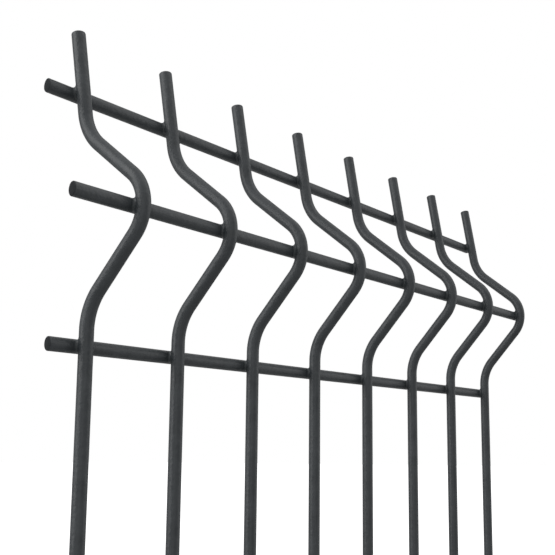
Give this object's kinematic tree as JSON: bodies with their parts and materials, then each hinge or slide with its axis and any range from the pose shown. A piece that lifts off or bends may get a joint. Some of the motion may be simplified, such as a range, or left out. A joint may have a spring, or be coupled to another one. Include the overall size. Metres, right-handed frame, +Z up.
{
  "type": "welded mesh fence panel",
  "caption": "Welded wire mesh fence panel with V-shaped stiffening folds, cross wires welded behind bent uprights, in a satin dark grey coating.",
  "frame": {"origin": "centre of the cut face at the foot of the first (left) upright", "axes": "+X along the panel towards the last upright, -Y towards the side the folds point to, +Z up"},
  "size_m": [0.3855, 0.0446, 0.6308],
  "materials": {
    "powder_coat": "satin anthracite grey polyester powder coat on galvanised steel wire"
  },
  "bodies": {
    "root": {"upright_1": "powder_coat", "upright_2": "powder_coat", "upright_3": "powder_coat", "upright_4": "powder_coat", "upright_5": "powder_coat", "upright_6": "powder_coat", "upright_7": "powder_coat", "upright_8": "powder_coat", "bottom_cross_wire": "powder_coat", "lower_nose_cross_wire": "powder_coat", "lower_fold_cross_wire": "powder_coat", "middle_cross_wire_1": "powder_coat", "upper_fold_cross_wire": "powder_coat", "upper_nose_cross_wire": "powder_coat", "top_cross_wire": "powder_coat"}
  },
  "joints": []
}
